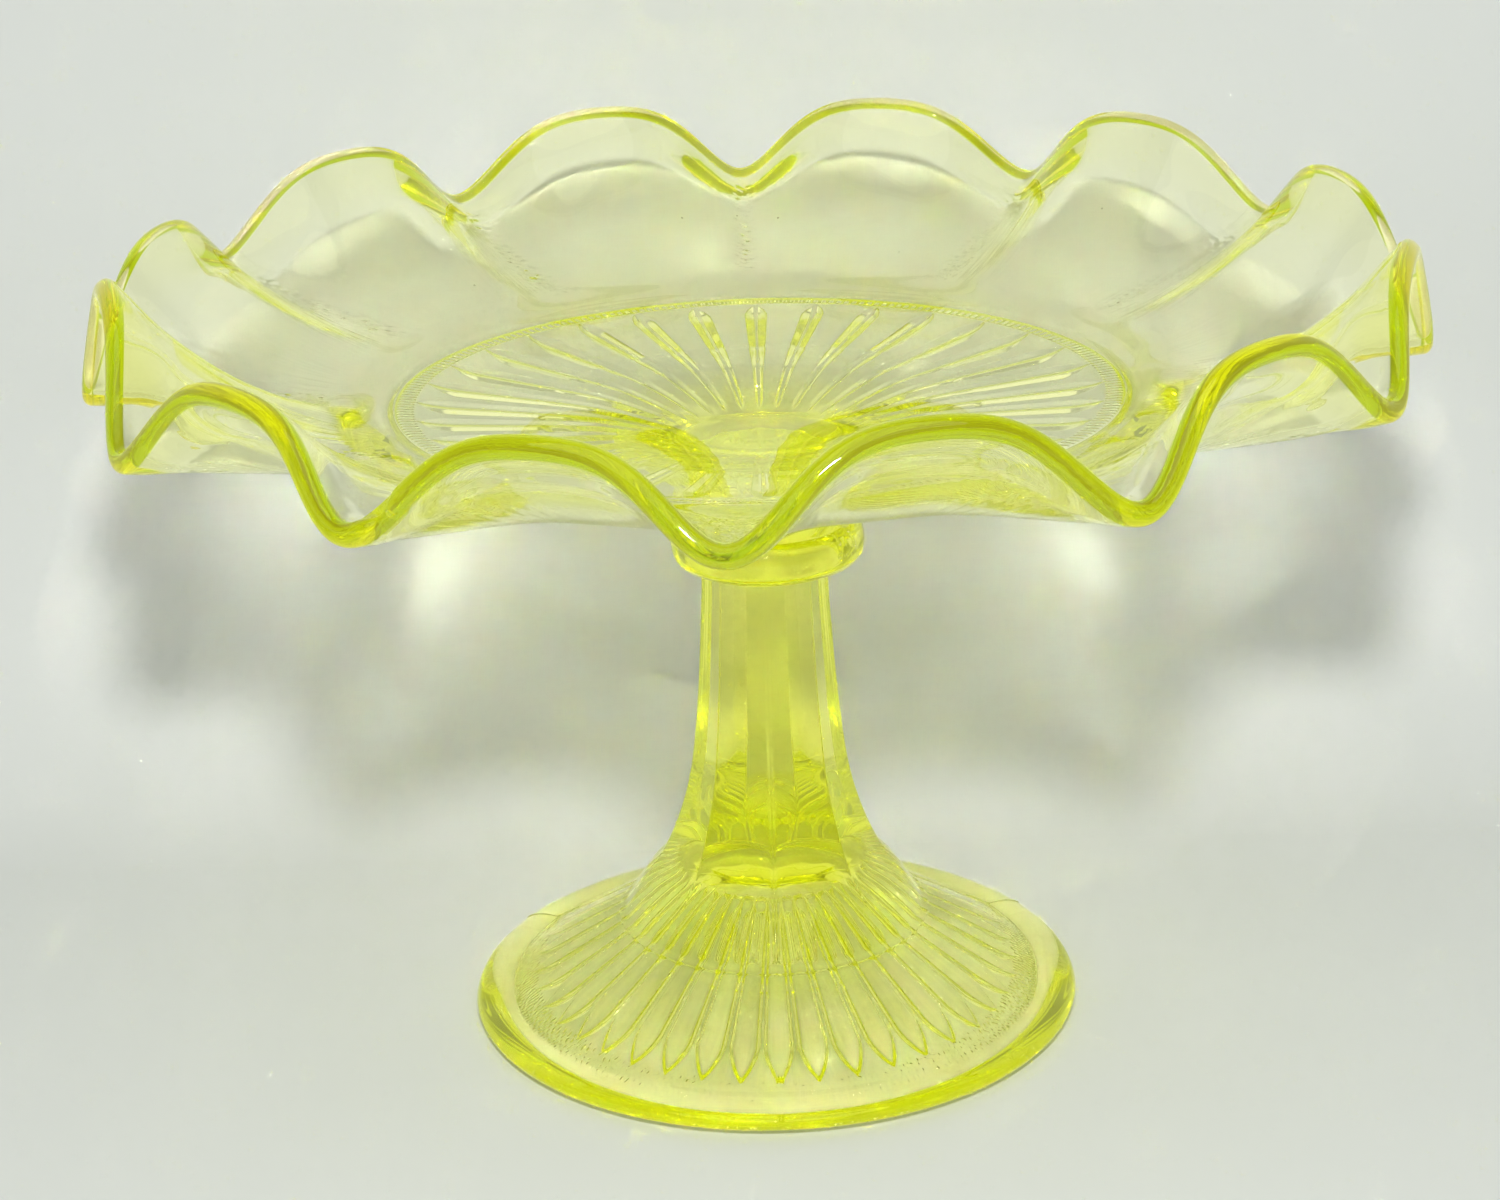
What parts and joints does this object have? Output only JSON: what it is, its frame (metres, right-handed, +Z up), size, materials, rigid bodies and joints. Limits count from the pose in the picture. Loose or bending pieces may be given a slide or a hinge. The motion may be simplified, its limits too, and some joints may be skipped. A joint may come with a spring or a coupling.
{
  "type": "footed glass dish",
  "caption": "Footed pressed uranium glass dish with a crimped, ruffled rim, a sunburst floor, a panelled stem and a domed, ribbed foot.",
  "frame": {"origin": "centre of the foot's resting ring, on the surface that the foot stands on", "axes": "+Z up through the stem to the dish; the front is at -Y, with a mould seam of the pedestal facing it"},
  "size_m": [0.242, 0.2417, 0.152],
  "materials": {
    "uranium_glass": "clear, fire-polished yellow-green uranium glass, deeper yellow where it is thick"
  },
  "bodies": {
    "root": {"dish": "uranium_glass", "wafer": "uranium_glass", "pedestal": "uranium_glass"}
  },
  "joints": []
}
